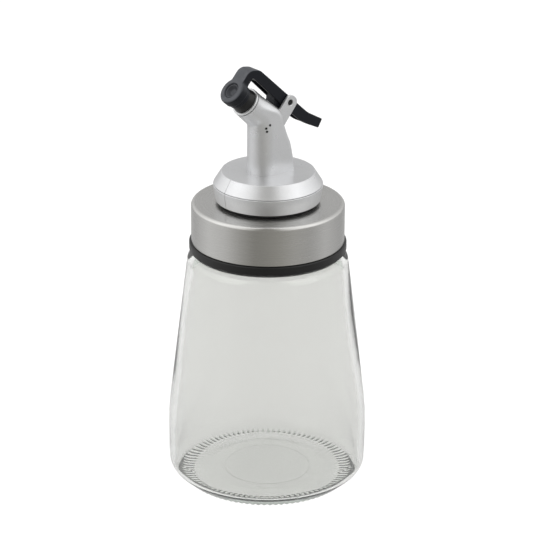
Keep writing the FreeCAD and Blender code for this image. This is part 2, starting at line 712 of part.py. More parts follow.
def pour_tube():
    """Tube that rises through the stem and neck and bends into the nozzle."""
    piece = body("pour_tube", Placement(Vector(), POUR_TURN))
    lean = math.radians(sizes["nozzle_lean"])
    along = Vector(math.sin(lean), math.cos(lean), 0)
    mouth = Vector(sizes["mouth_reach"], sizes["mouth_level"], 0)
    corner = Vector(sizes["neck_axis"], sizes["elbow_level"], 0)
    reach = sizes["tube_bend"] * math.tan(lean / 2)
    foot = Vector(sizes["neck_axis"], sizes["tube_low"], 0)
    bend_start = corner - Vector(0, reach, 0)
    bend_end = corner + along * reach
    centre = bend_start + Vector(sizes["tube_bend"], 0, 0)
    middle = centre + (corner - centre).normalize() * sizes["tube_bend"]
    path = sketch_on(piece, "tube_path")
    rise = path.addGeometry(Part.LineSegment(foot, bend_start))
    bend = path.addGeometry(Part.Arc(bend_start, middle, bend_end))
    run = path.addGeometry(Part.LineSegment(bend_end, mouth - along * sizes["tube_end"]))
    near = 1 if (path.getPoint(bend, 1) - bend_start).Length < 1e-6 else 2
    path.addConstraint(Sketcher.Constraint("Tangent", rise, 2, bend, near))
    path.addConstraint(Sketcher.Constraint("Tangent", run, 1, bend, 3 - near))
    path.addConstraint(Sketcher.Constraint("Vertical", rise))
    index = path.addConstraint(Sketcher.Constraint("Radius", bend, sizes["tube_bend"]))
    path.setExpression(f"Constraints[{index}]", "Sizes.tube_bend")
    bind(path, "DistanceX", rise, 1, "neck_axis")
    bind(path, "DistanceY", rise, 1, "tube_low")
    ends = sketch_on(piece, "tube_section", "XY_Plane", "tube_low")
    circle(ends, "neck_axis", 0, "tube_outer")
    circle(ends, "neck_axis", 0, "tube_inner")
    doc.recompute()
    tube = piece.newObject("PartDesign::AdditivePipe", "tube")
    tube.Profile = ends
    tube.Spine = (path, ["Edge1", "Edge2", "Edge3"])
    piece.Tip = tube
    return piece


def vent_tube():
    """Straight air tube behind the pour tube."""
    piece = body("vent_tube", Placement(Vector(), POUR_TURN))
    ends = sketch_on(piece, "vent_section", "XY_Plane", "vent_low")
    circle(ends, "0 - vent_place", 0, "vent_outer")
    circle(ends, "0 - vent_place", 0, "vent_inner")
    thick(piece, "vent", ends, "vent_high - vent_low", both=False)
    return piece


def lever():
    """Thumb lever: eye, bent arm with a channel under it, stop web, pin hub and curled tail."""
    piece = body("lever", Placement(Vector(), POUR_TURN))
    side = outline(sketch_on(piece, "arm_outline"), [
        at("arm_toe"),
        at("brow", "brow_rounding"),
        at("crown", "crown_rounding"),
        at("dip", "dip_bend"),
        at("tail_top", "edge"),
        at("tail_foot", "edge"),
        at("dip_under", "dip_bend"),
        at("back_under", "back_bend"),
        at("crook", "inside_edge"),
        at("arm_heel"),
    ])
    thick(piece, "arm", side, "lever_width")
    hub = circle(sketch_on(piece, "hub_circle"), "0 - pin_back", "pin_level", "hub_radius")
    thick(piece, "hub", hub, "lever_width")
    channel = outline(sketch_on(piece, "channel_outline"), [
        at("channel_front", "inside_edge"),
        at("channel_dip", "channel_bend"),
        at("channel_tail"),
        at("channel_back"),
        at("channel_foot"),
        at("channel_nose"),
    ])
    thick(piece, "channel", channel, "channel_width", "Pocket")
    turned(piece, "eye", [
        (0, "eye_back"),
        ("eye_radius", "eye_back", "eye_rounding"),
        ("eye_radius", "eye_face", "eye_rounding"),
        (0, "eye_face"),
    ], leaning=True)
    turned(piece, "eye_hole", [
        (0, "eye_back - overcut"),
        ("eye_bore", "eye_back - overcut"),
        ("eye_bore", "eye_face + overcut"),
        (0, "eye_face + overcut"),
    ], "Groove", leaning=True)
    web = outline(sketch_on(piece, "web_outline"), [
        at("web_foot"),
        at("web_head"),
        at("web_back"),
        at("web_heel"),
        at("web_toe"),
        at("web_knee"),
    ])
    thick(piece, "web", web, "channel_width + web_extra")
    room = circle(sketch_on(piece, "spring_room_circle"), "0 - pin_back", "pin_level", "spring_room")
    thick(piece, "spring_room", room, "spring_room_width", "Pocket")
    hole = circle(sketch_on(piece, "pin_circle"), "0 - pin_back", "pin_level", "lever_hole")
    thick(piece, "pin_hole", hole, CUT, "Pocket")
    return piece


def hinge_pin():
    """Plain pin through both ears and the lever."""
    piece = body("hinge_pin", Placement(Vector(), POUR_TURN))
    end = circle(sketch_on(piece, "pin_section"), "0 - pin_back", "pin_level", "pin_radius")
    thick(piece, "pin", end, "pin_length")
    return piece


def return_spring():
    """Torsion spring about the pin: one leg under the tail, one against the neck."""
    radius = sizes["coil_radius"]
    wire = sizes["wire_radius"]
    width = sizes["coil_pitch"] * sizes["coil_turns"]
    helix = Part.makeHelix(sizes["coil_pitch"], width, radius)
    ring = Part.Wire(Part.Circle(Vector(radius, 0, 0), Vector(0, 1, 0), wire).toShape())
    coil = Part.Wire(helix).makePipeShell([ring], True, True)

    def leg(level, direction, length, side):
        angle = math.radians(direction)
        along = Vector(math.cos(angle), math.sin(angle), 0)
        foot = Vector(-along.y, along.x, 0) * radius * side
        return Part.makeCylinder(wire, length, foot + Vector(0, 0, level), along)

    to_lever = leg(width, sizes["lever_leg_angle"], sizes["lever_leg"], 1)
    to_neck = leg(0, sizes["neck_leg_angle"], sizes["neck_leg"], 1)
    feature = doc.addObject("Part::Feature", "return_spring")
    feature.Label = "return_spring"
    feature.Shape = coil.fuse([to_lever, to_neck])
    pin = Vector(width / 2, sizes["pin_back"], sizes["pin_level"])
    feature.Placement = Placement(pin, POUR_TURN * Rotation(Vector(1, 0, 0), 90))
    return feature


pieces = [
    glass_bottle(),
    screw_collar(),
    steel_sleeve(),
    flat_ring("neck_gasket", "gasket_inner", "gasket_outer", "gasket_low", "gasket_high", "fine_edge"),
    flat_ring("spout_seal_ring", "seal_inner", "seal_outer", "seal_low", "seal_high", "fine_edge"),
    spout_base(),
    retaining_nut(),
    flat_ring("nut_washer", "washer_inner", "washer_outer", "washer_low", "washer_high", "fine_edge"),
    spout_housing(),
    nozzle_ring(),
    pour_nozzle(),
    pour_tube(),
    vent_tube(),
    lever(),
    stopper(),
    hinge_pin(),
    return_spring(),
]
doc.recompute()

failed = [item.Name for item in doc.Objects if {"Invalid", "Error"} & set(item.State)]
if failed:
    raise RuntimeError("failed objects: " + ", ".join(failed))
for piece in pieces:
    if piece.Shape.isNull() or not piece.Shape.isValid() or len(piece.Shape.Solids) != 1:
        raise RuntimeError(f"{piece.Label} is not one valid solid")

os.makedirs("parts", exist_ok=True)
for piece in pieces:
    piece.Shape.exportStep(f"parts/{piece.Label}.step")
    print(f"{piece.Label}: {piece.Shape.Volume:.1f} mm3")
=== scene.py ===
import math

import bmesh
import bpy
from mathutils import Matrix, Vector, noise


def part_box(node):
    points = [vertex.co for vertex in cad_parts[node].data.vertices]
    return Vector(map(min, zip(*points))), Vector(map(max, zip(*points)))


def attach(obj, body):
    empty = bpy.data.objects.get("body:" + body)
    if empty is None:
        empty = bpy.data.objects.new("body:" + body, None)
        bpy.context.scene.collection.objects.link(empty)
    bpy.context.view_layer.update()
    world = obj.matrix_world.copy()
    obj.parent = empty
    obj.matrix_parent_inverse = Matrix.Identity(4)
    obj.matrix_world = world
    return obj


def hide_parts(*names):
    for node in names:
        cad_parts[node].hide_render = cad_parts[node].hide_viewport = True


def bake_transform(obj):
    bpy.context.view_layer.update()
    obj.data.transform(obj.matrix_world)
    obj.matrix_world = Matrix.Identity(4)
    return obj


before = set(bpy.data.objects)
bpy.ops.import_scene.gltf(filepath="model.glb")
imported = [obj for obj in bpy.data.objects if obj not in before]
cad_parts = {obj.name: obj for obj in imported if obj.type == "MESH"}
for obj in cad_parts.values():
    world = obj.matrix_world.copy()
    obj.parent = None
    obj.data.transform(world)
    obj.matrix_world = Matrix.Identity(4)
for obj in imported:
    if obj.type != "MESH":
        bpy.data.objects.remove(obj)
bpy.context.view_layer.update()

# An oil dispenser: a tapered glass bottle, a screw collar in a brushed steel sleeve, and a silver
# pouring spout closed by a sprung black thumb lever.  The spout pours towards -Y.  Outlines are
# written in millimetres; "reach" is the distance ahead of the bottle's axis, towards -Y.

MM = 0.001
TURN = 2 * math.pi


# ---------------------------------------------------------------- places, from the frame

def span(node):
    """Lowest and highest corner of a CAD node, in millimetres."""
    low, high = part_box(node)
    return low / MM, high / MM


glass_high = span("glass_bottle")[1]
collar_low, collar_high = span("screw_collar")
sleeve_low, sleeve_high = span("steel_sleeve")
seal_low, seal_high = span("spout_seal_ring")
base_low, base_high = span("spout_base")
housing_low = span("spout_housing")[0]
pin_low, pin_high = span("hinge_pin")

LEAN = math.radians(48.5)                        # nozzle axis from the vertical
MOUTH = Vector((11.5, 159.2))                    # middle of the spout's mouth: (reach, height)
ALONG = Vector((math.sin(LEAN), math.cos(LEAN)))  # out of the mouth
ABOVE = Vector((-ALONG.y, ALONG.x))              # across the branch, upwards
PIN = Vector((-(pin_low.y + pin_high.y) / 2, (pin_low.z + pin_high.z) / 2))
NECK_AXIS = 1.94                                 # reach of the middle of the neck's round front


def place(across, reach, height):
    """A point in the row frame, in metres."""
    return Vector((across, -reach, height)) * MM


def leaning(across, up, out):
    """A point given across the nozzle's axis, above it, and out along it from the mouth."""
    spot = MOUTH + ABOVE * up + ALONG * out
    return place(across, spot.x, spot.y)


# ---------------------------------------------------------------- mesh tools

def rounded(corners, fine=8.0):
    """Points of a closed outline whose corners (a, b, radius) are rounded by tangent arcs."""
    points = []
    for i, corner in enumerate(corners):
        here = Vector(corner[:2])
        radius = corner[2] if len(corner) > 2 else 0.0
        if not radius:
            points.append(here)
            continue
        to_last = (Vector(corners[i - 1][:2]) - here).normalized()
        to_next = (Vector(corners[(i + 1) % len(corners)][:2]) - here).normalized()
        half = to_last.angle(to_next) / 2
        centre = here + (to_last + to_next).normalized() * (radius / math.sin(half))
        first = here + to_last * (radius / math.tan(half)) - centre
        last = here + to_next * (radius / math.tan(half)) - centre
        sweep = first.angle_signed(last)
        steps = max(2, round(abs(math.degrees(sweep)) / fine))
        for k in range(steps + 1):
            points.append(centre + first @ Matrix.Rotation(sweep * k / steps, 2))
    return points


def finish_mesh(name, mesh, sharp=32.0):
    """An object with smooth faces, edges sharper than the limit kept, and even normals."""
    mesh.validate()
    for polygon in mesh.polygons:
        polygon.use_smooth = True
    mesh.set_sharp_from_angle(angle=math.radians(sharp))
    thing = bpy.data.objects.new(name, mesh)
    bpy.context.scene.collection.objects.link(thing)
    evener = thing.modifiers.new("even_normals", "WEIGHTED_NORMAL")
    evener.keep_sharp = True
    return thing


def mesh_from(work, name):
    """A mesh from bmesh work, with welded points and faces turned outwards."""
    bmesh.ops.remove_doubles(work, verts=work.verts, dist=1e-7)
    bmesh.ops.recalc_face_normals(work, faces=work.faces)
    mesh = bpy.data.meshes.new(name)
    work.to_mesh(mesh)
    work.free()
    return mesh


def lathe_mesh(name, points, segments, spot=None, seam=0.0, relief=None):
    """A closed outline of (radius, height) points turned about an axis.

    spot(x, y, height) gives the place of each point.  relief(number, angle) gives how far an
    outline point moves outwards and upwards at that angle.  seam is the depth of a mould line
    down the side that faces the mouth.
    """
    spot = spot or (lambda x, y, height: Vector((x, y, height)) * MM)
    relief = relief or (lambda number, angle: (0.0, 0.0))
    angles = [(TURN * k / segments, 0.0) for k in range(segments)]
    if seam:
        front = TURN * 0.75
        angles = [a for a in angles if abs(a[0] - front) > 0.01]
        angles += [(front + side, depth) for side, depth in ((-0.006, 0.0), (0.0, seam), (0.006, 0.0))]
        angles.sort()
    work = bmesh.new()
    columns = []
    for angle, depth in angles:
        column = []
        for number, (radius, height) in enumerate(points):
            outwards, upwards = relief(number, angle)
            r = max(radius + outwards - depth, 0.0)
            spot_here = spot(r * math.cos(angle), r * math.sin(angle), height + upwards)
            column.append(work.verts.new(spot_here))
        columns.append(column)
    count = len(points)
    for i, column in enumerate(columns):
        following = columns[(i + 1) % len(columns)]
        for k in range(count):
            n = (k + 1) % count
            if points[k][0] < 1e-6 and points[n][0] < 1e-6:
                continue
            corners = [column[k], following[k], following[n], column[n]]
            if points[k][0] < 1e-6:
                corners.pop(1)
            elif points[n][0] < 1e-6:
                corners.pop(3)
            work.faces.new(corners)
    return mesh_from(work, name)


def dense(points, longest, low=-1e9, high=1e9):
    """The closed outline with its long runs between two heights divided."""
    result = []
    for i, here in enumerate(points):
        there = points[(i + 1) % len(points)]
        middle = (here.y + there.y) / 2
        parts = max(1, math.ceil((there - here).length / longest)) if low < middle < high else 1
        result += [here.lerp(there, k / parts) for k in range(parts)]
    return result


def eased(value):
    """0 below 0, 1 above 1, smooth in between."""
    value = min(max(value, 0.0), 1.0)
    return value * value * (3 - 2 * value)


def thread_height(height, angle, start, first, pitch, turns):
    """How much of a thread's ridge stands at that height and angle, from 0 to 1."""
    past = (angle - start) % TURN
    best = 0.0
    for turn in range(math.ceil(turns)):
        travelled = past / TURN + turn
        off = abs(height - first - pitch * travelled)
        ends = eased(travelled / 0.06) * eased((turns - travelled) / 0.06)
        best = max(best, eased((1.05 - off) / 0.5) * ends)
    return best


def lathe(name, corners, segments=160, leaning_axis=False, seam=0.0):
    """A turned piece about the bottle's axis, or about the nozzle's."""
    spot = leaning if leaning_axis else None
    mesh = lathe_mesh(name, [tuple(p) for p in rounded(corners)], segments, spot, seam)
    return finish_mesh(name, mesh)


def prism(name, points, spot, start, end, edges=(0.0, 0.0)):
    """A plate: a flat outline carried from start to end, with the rounding of each of its rims."""
    work = bmesh.new()
    rings = []
    for level in (start, end):
        rings.append([work.verts.new(spot(p[0], p[1], level)) for p in points])
    count = len(points)
    for k in range(count):
        n = (k + 1) % count
        work.faces.new([rings[0][k], rings[0][n], rings[1][n], rings[1][k]])
    rims = [work.faces.new(rings[0][::-1]), work.faces.new(rings[1])]
    bmesh.ops.recalc_face_normals(work, faces=work.faces)
    for rim, edge in zip(rims, edges):
        if edge:
            bmesh.ops.bevel(work, geom=list(rim.edges), offset=edge * MM, segments=4, profile=0.5,
                            affect="EDGES", clamp_overlap=True)
    mesh = mesh_from(work, name)
    thing = bpy.data.objects.new(name, mesh)
    bpy.context.scene.collection.objects.link(thing)
    return thing


def combined(base, others, operation):
    """base with the others joined to it or cut from it; the others are used up."""
    for other in others:
        step = base.modifiers.new("step", "BOOLEAN")
        step.operation = operation
        step.solver = "EXACT"
        step.object = other
        graph = bpy.context.evaluated_depsgraph_get()
        mesh = bpy.data.meshes.new_from_object(base.evaluated_get(graph))
        base.modifiers.clear()
        base.data = mesh
        bpy.data.objects.remove(other)
    return base


def polished(thing, name):
    """The finished piece from a built-up object: welded, smooth and with even normals."""
    work = bmesh.new()
    work.from_mesh(thing.data)
    bmesh.ops.dissolve_degenerate(work, edges=work.edges, dist=1e-6)
    mesh = mesh_from(work, name)
    bpy.data.objects.remove(thing)
    return finish_mesh(name, mesh)


# ---------------------------------------------------------------- materials

class Finish:
    """A procedural material being wired up: one Principled shader and helpers for its inputs."""

    def __init__(self, name, **constants):
        self.material = bpy.data.materials.new(name)
        self.material.use_nodes = True
        self.tree = self.material.node_tree
        self.shader = self.tree.nodes["Principled BSDF"]
        self.output = self.tree.nodes["Material Output"]
        for socket, value in constants.items():
            self.shader.inputs[socket.replace("_", " ")].default_value = value
        self.place = self.tree.nodes.new("ShaderNodeTexCoord").outputs["Object"]

    def node(self, kind, settings=None, **links):
        """A node with settings, whose named inputs are given values or linked to outputs."""
        made = self.tree.nodes.new(kind)
        for key, value in (settings or {}).items():
            setattr(made, key, value)
        for key, value in links.items():
            index = int(key[1:]) if key[0] == "i" and key[1:].isdigit() else key.replace("_", " ")
            socket = made.inputs[index]
            if isinstance(value, bpy.types.NodeSocket):
                self.tree.links.new(value, socket)
            else:
                socket.default_value = value
        return made

    def math(self, operation, first, second=0.0):
        """The result of one Math node."""
        return self.node("ShaderNodeMath", {"operation": operation}, i0=first, i1=second).outputs[0]

    def stretched(self, scale):
        """The piece's own coordinates, scaled for each axis."""
        return self.node("ShaderNodeMapping", None, Vector=self.place, Scale=scale).outputs[0]

    def noise(self, size, detail=3.0, rough=0.55, place=None):
        """Smooth noise from 0 to 1, whose spots are about size millimetres across."""
        made = self.node("ShaderNodeTexNoise", None, Vector=place or self.place,
                         Scale=1.0 if size is None else 1 / (size * MM),
                         Detail=detail, Roughness=rough)
        return made.outputs["Fac"]

    def ramp(self, value, low, high, start=0.0, end=1.0):
        """value between low and high carried to start and end, and held there."""
        made = self.node("ShaderNodeMapRange", {"clamp": True}, Value=value)
        for key, number in (("From Min", low), ("From Max", high), ("To Min", start), ("To Max", end)):
            made.inputs[key].default_value = number
        return made.outputs["Result"]

    def mix(self, share, first, second):
        """Colour between first and second."""
        made = self.node("ShaderNodeMix", {"data_type": "RGBA"})
        for index, value in ((0, share), (6, first), (7, second)):
            if isinstance(value, bpy.types.NodeSocket):
                self.tree.links.new(value, made.inputs[index])
            else:
                made.inputs[index].default_value = value
        return made.outputs[2]

    def radius(self, parts):
        """Distance from the bottle's axis, from the separated coordinates."""
        squares = self.math("ADD", self.math("MULTIPLY", parts[0], parts[0]),
                            self.math("MULTIPLY", parts[1], parts[1]))
        return self.math("SQRT", squares)

    def send(self, value, socket):
        """value linked to one of the shader's inputs."""
        self.tree.links.new(value, self.shader.inputs[socket])

    def bump(self, height, depth, strength=1.0):
        """Relief of about depth millimetres."""
        made = self.node("ShaderNodeBump", None, Height=height, Strength=strength,
                         Distance=depth * MM)
        self.send(made.outputs[0], "Normal")


def grey(value):
    return (value, value, value, 1.0)


def glass_finish():
    """Clear soda-lime glass, a little green where it is thick, stippled on its foot ring."""
    finish = Finish("clear_glass", IOR=1.5, Transmission_Weight=1.0)
    parts = finish.node("ShaderNodeSeparateXYZ", None, Vector=finish.place).outputs
    radius = finish.radius(parts)
    ring = finish.math("MULTIPLY", finish.ramp(radius, 29.4 * MM, 30.0 * MM),
                       finish.ramp(radius, 33.4 * MM, 32.6 * MM))
    ring = finish.math("MULTIPLY", ring, finish.ramp(parts[2], 1.6 * MM, 1.2 * MM))
    wave = finish.math("COSINE", finish.math("MULTIPLY", finish.math("ARCTAN2", parts[1], parts[0]),
                                             float(FOOT_BARS)))
    bars = finish.math("MULTIPLY", ring, finish.ramp(wave, 0.1, 0.7))
    clear, stippled = (0.772, 0.773, 0.76, 1), (0.45, 0.47, 0.45, 1)
    finish.send(finish.mix(bars, clear, stippled), "Base Color")
    finish.send(finish.math("MULTIPLY", ring, 0.06), "Roughness")
    water = finish.noise(14.0, 2.0, place=finish.stretched((1, 1, 0.35)))
    finish.bump(water, 0.05, 0.5)
    absorb = finish.node("ShaderNodeVolumeAbsorption", None, Color=(0.62, 0.80, 0.70, 1), Density=4.0)
    finish.tree.links.new(absorb.outputs[0], finish.output.inputs["Volume"])
    return finish.material


def steel_finish():
    """Stainless steel brushed round the sleeve and round its top."""
    finish = Finish("brushed_steel", Metallic=1.0, Anisotropic=0.6, Anisotropic_Rotation=0.25)
    parts = finish.node("ShaderNodeSeparateXYZ", None, Vector=finish.place).outputs
    depth = finish.math("ADD", finish.radius(parts), parts[2])

    def drawn_out(along, across):
        """Coordinates that stretch a noise into rings: few along the ring and many across it."""
        return finish.node("ShaderNodeCombineXYZ", None, X=finish.math("MULTIPLY", parts[0], along),
                           Y=finish.math("MULTIPLY", parts[1], along),
                           Z=finish.math("MULTIPLY", depth, across)).outputs[0]

    lines = finish.noise(None, 4.0, 0.7, place=drawn_out(60.0, 5200.0))
    bands = finish.noise(None, 3.0, 0.6, place=drawn_out(25.0, 420.0))
    tone = finish.math("ADD", finish.math("MULTIPLY", lines, 0.6), finish.math("MULTIPLY", bands, 0.4))
    dark, light = (0.55, 0.545, 0.53, 1), (0.59, 0.585, 0.57, 1)
    finish.send(finish.mix(finish.ramp(tone, 0.3, 0.7), dark, light), "Base Color")
    finish.send(finish.ramp(lines, 0.25, 0.75, 0.20, 0.30), "Roughness")
    finish.bump(lines, 0.002, 0.3)
    tangent = finish.node("ShaderNodeTangent", {"direction_type": "RADIAL", "axis": "Z"})
    finish.send(tangent.outputs[0], "Tangent")
    return finish.material


CHIPS = ((6.1, 3.9, 149.7), (5.5, 5.4, 148.5), (5.65, 5.1, 147.2))  # chipped paint: (across, reach, height)


def silver_finish():
    """Silver paint on plastic: satin, with fine flake, faint smears, dust and three small chips."""
    finish = Finish("silver_paint", Metallic=0.78, Coat_Weight=0.1, Coat_Roughness=0.25)
    flake = finish.noise(0.16, 2.0)
    smear = finish.noise(5.0, 4.0, 0.6)
    dust = finish.ramp(finish.noise(0.7, 3.0), 0.66, 0.74)
    tone = finish.mix(finish.ramp(flake, 0.35, 0.65), (0.60, 0.61, 0.62, 1), (0.70, 0.70, 0.71, 1))
    tone = finish.mix(finish.ramp(smear, 0.35, 0.75, 0.0, 0.25), tone, (0.58, 0.58, 0.57, 1))
    tone = finish.mix(finish.math("MULTIPLY", dust, 0.2), tone, (0.42, 0.42, 0.40, 1))
    ragged = finish.noise(0.35, 3.0)
    chipped = 0.0
    for across, reach, height in CHIPS:
        away = finish.node("ShaderNodeVectorMath", {"operation": "DISTANCE"}, i0=finish.place,
                           i1=place(across, reach, height)).outputs["Value"]
        near = finish.ramp(finish.math("ADD", away, finish.math("MULTIPLY", ragged, 0.5 * MM)),
                           0.85 * MM, 0.65 * MM)
        chipped = finish.math("MAXIMUM", near, chipped)
    finish.send(finish.mix(chipped, tone, (0.02, 0.02, 0.02, 1)), "Base Color")
    finish.send(finish.ramp(smear, 0.3, 0.7, 0.27, 0.34), "Roughness")
    finish.bump(flake, 0.002, 0.3)
    return finish.material


def black_finish(name, tone, dusty, roughness, dust_tone=0.10):
    """Black moulded plastic with a fine grain, rubbed patches and dust lying in the grain."""
    finish = Finish(name, Specular_IOR_Level=0.3)
    grain = finish.noise(0.22, 3.0)
    rubbed = finish.noise(3.5, 4.0, 0.6)
    specks = finish.ramp(finish.noise(0.55, 4.0, 0.7), 0.60, 0.75)
    lying = finish.math("MULTIPLY", specks, finish.ramp(rubbed, 0.3, 0.7))
    share = finish.math("MULTIPLY", lying, dusty)
    finish.send(finish.mix(share, grey(tone), (dust_tone, dust_tone, dust_tone * 0.95, 1)), "Base Color")
    finish.send(finish.ramp(rubbed, 0.3, 0.7, roughness - 0.06, roughness + 0.08), "Roughness")
    finish.bump(grain, 0.012, 0.5)
    return finish.material


def painted_highlight_dusty_finish(name, lit_face_tone):
    """Black, lightened on what faces the front and the sky: a painted highlight, broken up by patches and
    specks of dust.
    """
    finish = Finish(name, Specular_IOR_Level=0.2)
    facing = finish.tree.nodes.new("ShaderNodeTexCoord").outputs["Normal"]
    front = finish.node("ShaderNodeVectorMath", {"operation": "DOT_PRODUCT"}, i0=facing,
                        i1=Vector((0, -ALONG.x, ALONG.y))).outputs["Value"]
    parts = finish.node("ShaderNodeSeparateXYZ", None, Vector=facing).outputs
    # painted highlight: faces turned towards the nozzle's front and upwards are lightened as if light falls
    # on them
    painted_highlight_upward = finish.ramp(parts[2], 0.2, 0.9, 0.0, 0.75)
    painted_highlight_bloom = finish.math("MAXIMUM", finish.ramp(front, 0.35, 0.98), painted_highlight_upward)
    patches = finish.ramp(finish.noise(3.0, 4.0, 0.6), 0.25, 0.75, 0.65, 1.0)
    specks = finish.ramp(finish.noise(0.5, 4.0, 0.7), 0.35, 0.75, 0.8, 1.0)
    share = finish.math("MULTIPLY", painted_highlight_bloom, finish.math("MULTIPLY", patches, specks))
    # the lit tone is painted highlight mixed with dust; the clean tone is the plain black
    clean, dusted_and_lit = (0.005, 0.006, 0.009, 1), (lit_face_tone, lit_face_tone * 1.04, lit_face_tone * 1.14, 1)
    finish.send(finish.mix(share, clean, dusted_and_lit), "Base Color")
    finish.send(finish.ramp(share, 0.0, 1.0, 0.38, 0.55), "Roughness")
    finish.bump(finish.noise(0.22, 3.0), 0.012, 0.4)
    return finish.material


def rubber_finish(name, tone):
    """Matt rubber, slightly mottled."""
    finish = Finish(name, Specular_IOR_Level=0.35)
    mottle = finish.noise(1.2, 4.0, 0.6)
    finish.send(finish.mix(finish.ramp(mottle, 0.3, 0.7), grey(tone), grey(tone * 1.6)), "Base Color")
    finish.send(finish.ramp(mottle, 0.3, 0.7, 0.5, 0.65), "Roughness")
    finish.bump(finish.noise(0.3, 3.0), 0.012, 0.4)
    return finish.material


def tube_finish():
    """Milky polyethylene."""
    finish = Finish("milky_tube", Roughness=0.35, Subsurface_Weight=0.3, Subsurface_Scale=0.001)
    cloud = finish.noise(2.5, 3.0)
    finish.send(finish.mix(cloud, (0.74, 0.75, 0.73, 1), (0.86, 0.86, 0.84, 1)), "Base Color")
    return finish.material


def wire_finish(name, tone, roughness):
    """Drawn steel with faint marks."""
    finish = Finish(name, Metallic=1.0)
    marks = finish.noise(0.25, 4.0, 0.7)
    finish.send(finish.mix(finish.ramp(marks, 0.35, 0.7), grey(tone), grey(tone * 0.6)), "Base Color")
    finish.send(finish.ramp(marks, 0.3, 0.7, roughness, roughness + 0.15), "Roughness")
    return finish.material


# ---------------------------------------------------------------- bottle and collar

THREAD_PITCH = 4.2
THREAD_TURNS = 1.5
THREAD_START = 101.5             # height of the first turn
THREAD_LOW = THREAD_START - 1.6
THREAD_HIGH = THREAD_START + THREAD_PITCH * THREAD_TURNS + 1.6
FOOT_BARS = 90                   # short moulded bars under the foot ring and up the heel
BAR_HEIGHT = 0.4
BARS_FROM, BARS_TO = 29.3, 34.4  # radii between which they run


def bottle():
    """Glass with a dished foot on a ring of moulded bars, a straight taper and a screwed neck."""
    belly = 39.35
    lip = glass_high.z
    wall = 2.7
    neck = 25.25
    shoulder = 31.3
    dish = 0.5
    floor_top = 4.5
    outline = rounded([
        (0, dish), (16.8, dish), (17.0, dish - 0.06), (17.2, dish),
        (22.0, dish, 30.0), (29.8, 0, 8.0), (32.3, 0, 4.0), (38.9, 5.8, 5.0),
        (belly - 0.15, 12.0, 8.0), (belly, 28.6, 100.0), (shoulder, 95.2, 3.2), (neck, 95.2, 1.0),
        (neck, lip, 0.8), (22.0, lip, 0.8), (22.0, 93.6, 1.2), (shoulder - wall, 93.6, 3.2),
        (belly - wall, 28.6, 100.0), (belly - wall - 0.15, floor_top, 3.0), (0, floor_top),
    ], 5.0)
    outline = dense(outline, 6.0)
    outline = dense(outline, 0.6, -1.0, 0.5)
    outline = dense(outline, 0.6, 1.0, 3.5)
    outline = dense(outline, 0.4, THREAD_LOW, THREAD_HIGH)
    top = max(range(len(outline)), key=lambda k: outline[k].y)

    def relief(number, angle):
        radius, height = outline[number]
        if number < top and height < 4.0 and BARS_FROM < radius < BARS_TO:
            between = 0.5 - 0.5 * math.cos(angle * FOOT_BARS)
            width = eased((radius - BARS_FROM) / 0.5) * eased((BARS_TO - radius) / 1.4)
            return 0.0, BAR_HEIGHT * between ** 1.5 * width
        if number <= top and abs(radius - neck) < 0.01:
            ridge = thread_height(height, angle, 0.0, THREAD_START, THREAD_PITCH, THREAD_TURNS)
            return 1.15 * ridge, 0.0
        if number > top and 8.0 < height < 90.0:
            spot = Vector((math.cos(angle) * 1.6, math.sin(angle) * 1.6, height * 0.035))
            fade = eased((height - 8.0) / 10.0) * eased((90.0 - height) / 8.0)
            return 0.22 * noise.noise(spot) * fade, 0.0
        return 0.0, 0.0

    mesh = lathe_mesh("bottle", [tuple(p) for p in outline], FOOT_BARS * 5, None, 0.0, relief)
    return finish_mesh("bottle", mesh)


def collar():
    """Black inner collar with its screw thread and the rim that shows under the sleeve."""
    bore = 26.95
    rim = collar_high.x
    low = collar_low.z
    ledge = sleeve_low.z - 0.05
    outer = rim - 1.45
    outline = rounded([
        (bore, low), (rim - 1.25, low, 0.2), (rim, low + 1.3, 0.8), (rim, ledge, 0.4),
        (outer, ledge), (outer, collar_high.z, 1.2), (11.1, collar_high.z),
        (11.1, collar_high.z - 2.1), (bore, collar_high.z - 2.1),
    ])
    outline = dense(outline, 0.4, THREAD_LOW, THREAD_HIGH)

    def relief(number, angle):
        radius, height = outline[number]
        if abs(radius - bore) > 0.01:
            return 0.0, 0.0
        ridge = thread_height(height, angle, math.pi, THREAD_START, THREAD_PITCH, THREAD_TURNS)
        return -1.25 * ridge, 0.0

    mesh = lathe_mesh("collar", [tuple(p) for p in outline], 192, None, 0.0, relief)
    return finish_mesh("collar", mesh)


def sleeve():
    """Pressed steel shell over the collar."""
    outer = sleeve_high.x
    top = sleeve_high.z
    sheet = 0.55
    return lathe("sleeve", [
        (outer - sheet, sleeve_low.z), (outer, sleeve_low.z, 0.35), (outer, top, 1.5),
        (12.0, top), (12.0, top - sheet), (outer - sheet, top - sheet, 0.95),
    ], 256)


def seal():
    """Black rubber ring between the sleeve and the spout."""
    return lathe("seal", [
        (12.4, seal_low.z), (seal_high.x, seal_low.z, 0.3), (seal_high.x, seal_high.z, 0.3),
        (12.4, seal_high.z),
    ], 160)


# ---------------------------------------------------------------- spout

DISC_EDGE = base_high.x                     # widest radius of the disc
DISC_TOP = 128.95
DISC_TOP_RADIUS = 18.2
SEAM_DEPTH = 0.2
BRANCH = 5.8                                # outside radius of the branch


def base():
    """Silver band under the disc, with its floor and the hollow stem."""
    low = seal_high.z + 0.05
    high = base_high.z
    foot = DISC_EDGE - 0.95
    return lathe("band", [
        (0, base_low.z), (10.0, base_low.z, 0.5), (10.0, 112.3), (10.8, 112.5), (10.8, low),
        (foot, low, 0.4), (DISC_EDGE, high, 0.25), (DISC_EDGE - 1.6, high),
        (foot - 1.6, low + 1.8, 0.8), (8.4, low + 1.8), (8.4, 106.5, 0.8), (0, 106.5),
    ], 192, seam=SEAM_DEPTH)


